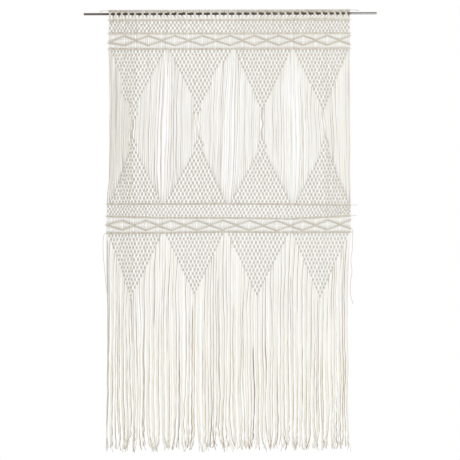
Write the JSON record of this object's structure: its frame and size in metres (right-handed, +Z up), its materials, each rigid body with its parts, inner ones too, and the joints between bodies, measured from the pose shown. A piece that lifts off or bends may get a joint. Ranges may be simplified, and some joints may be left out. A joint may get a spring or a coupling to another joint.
{
  "type": "macrame curtain on a rod",
  "caption": "Knotted cotton macrame curtain on a round steel rod, with net bands, zigzag diamond rows, triangles, open string diamonds and a long fringe.",
  "frame": {"origin": "middle of the rod's axis, midway between its ends", "axes": "+X along the rod to the right as seen from the front, +Y from the front to the back, +Z up"},
  "size_m": [1.585, 0.0229, 2.3952],
  "materials": {
    "cotton_cord": "matte twisted cotton",
    "rod_steel": "satin dark steel"
  },
  "bodies": {
    "root": {"rod": "rod_steel", "mounting_cord": "cotton_cord", "heading": "cotton_cord", "ridge_1": "cotton_cord", "ridge_2": "cotton_cord", "ridge_3": "cotton_cord", "ridge_4": "cotton_cord", "ridge_5": "cotton_cord", "ridge_6": "cotton_cord", "upper_net_band": "cotton_cord", "lower_net_band": "cotton_cord", "upper_web": "cotton_cord", "lower_web": "cotton_cord", "upper_zigzag": "cotton_cord", "lower_zigzag": "cotton_cord", "upper_triangle_1": "cotton_cord", "upper_triangle_2": "cotton_cord", "upper_triangle_3": "cotton_cord", "upper_triangle_4": "cotton_cord", "middle_triangle_1": "cotton_cord", "middle_triangle_2": "cotton_cord", "middle_triangle_3": "cotton_cord", "middle_triangle_4": "cotton_cord", "lower_triangle_1": "cotton_cord", "lower_triangle_2": "cotton_cord", "lower_triangle_3": "cotton_cord", "lower_triangle_4": "cotton_cord", "strings_1": "cotton_cord", "strings_2": "cotton_cord", "strings_3": "cotton_cord", "strings_4": "cotton_cord", "strings_5": "cotton_cord", "fringe": "cotton_cord", "left_tail": "cotton_cord", "right_tail": "cotton_cord"}
  },
  "joints": []
}
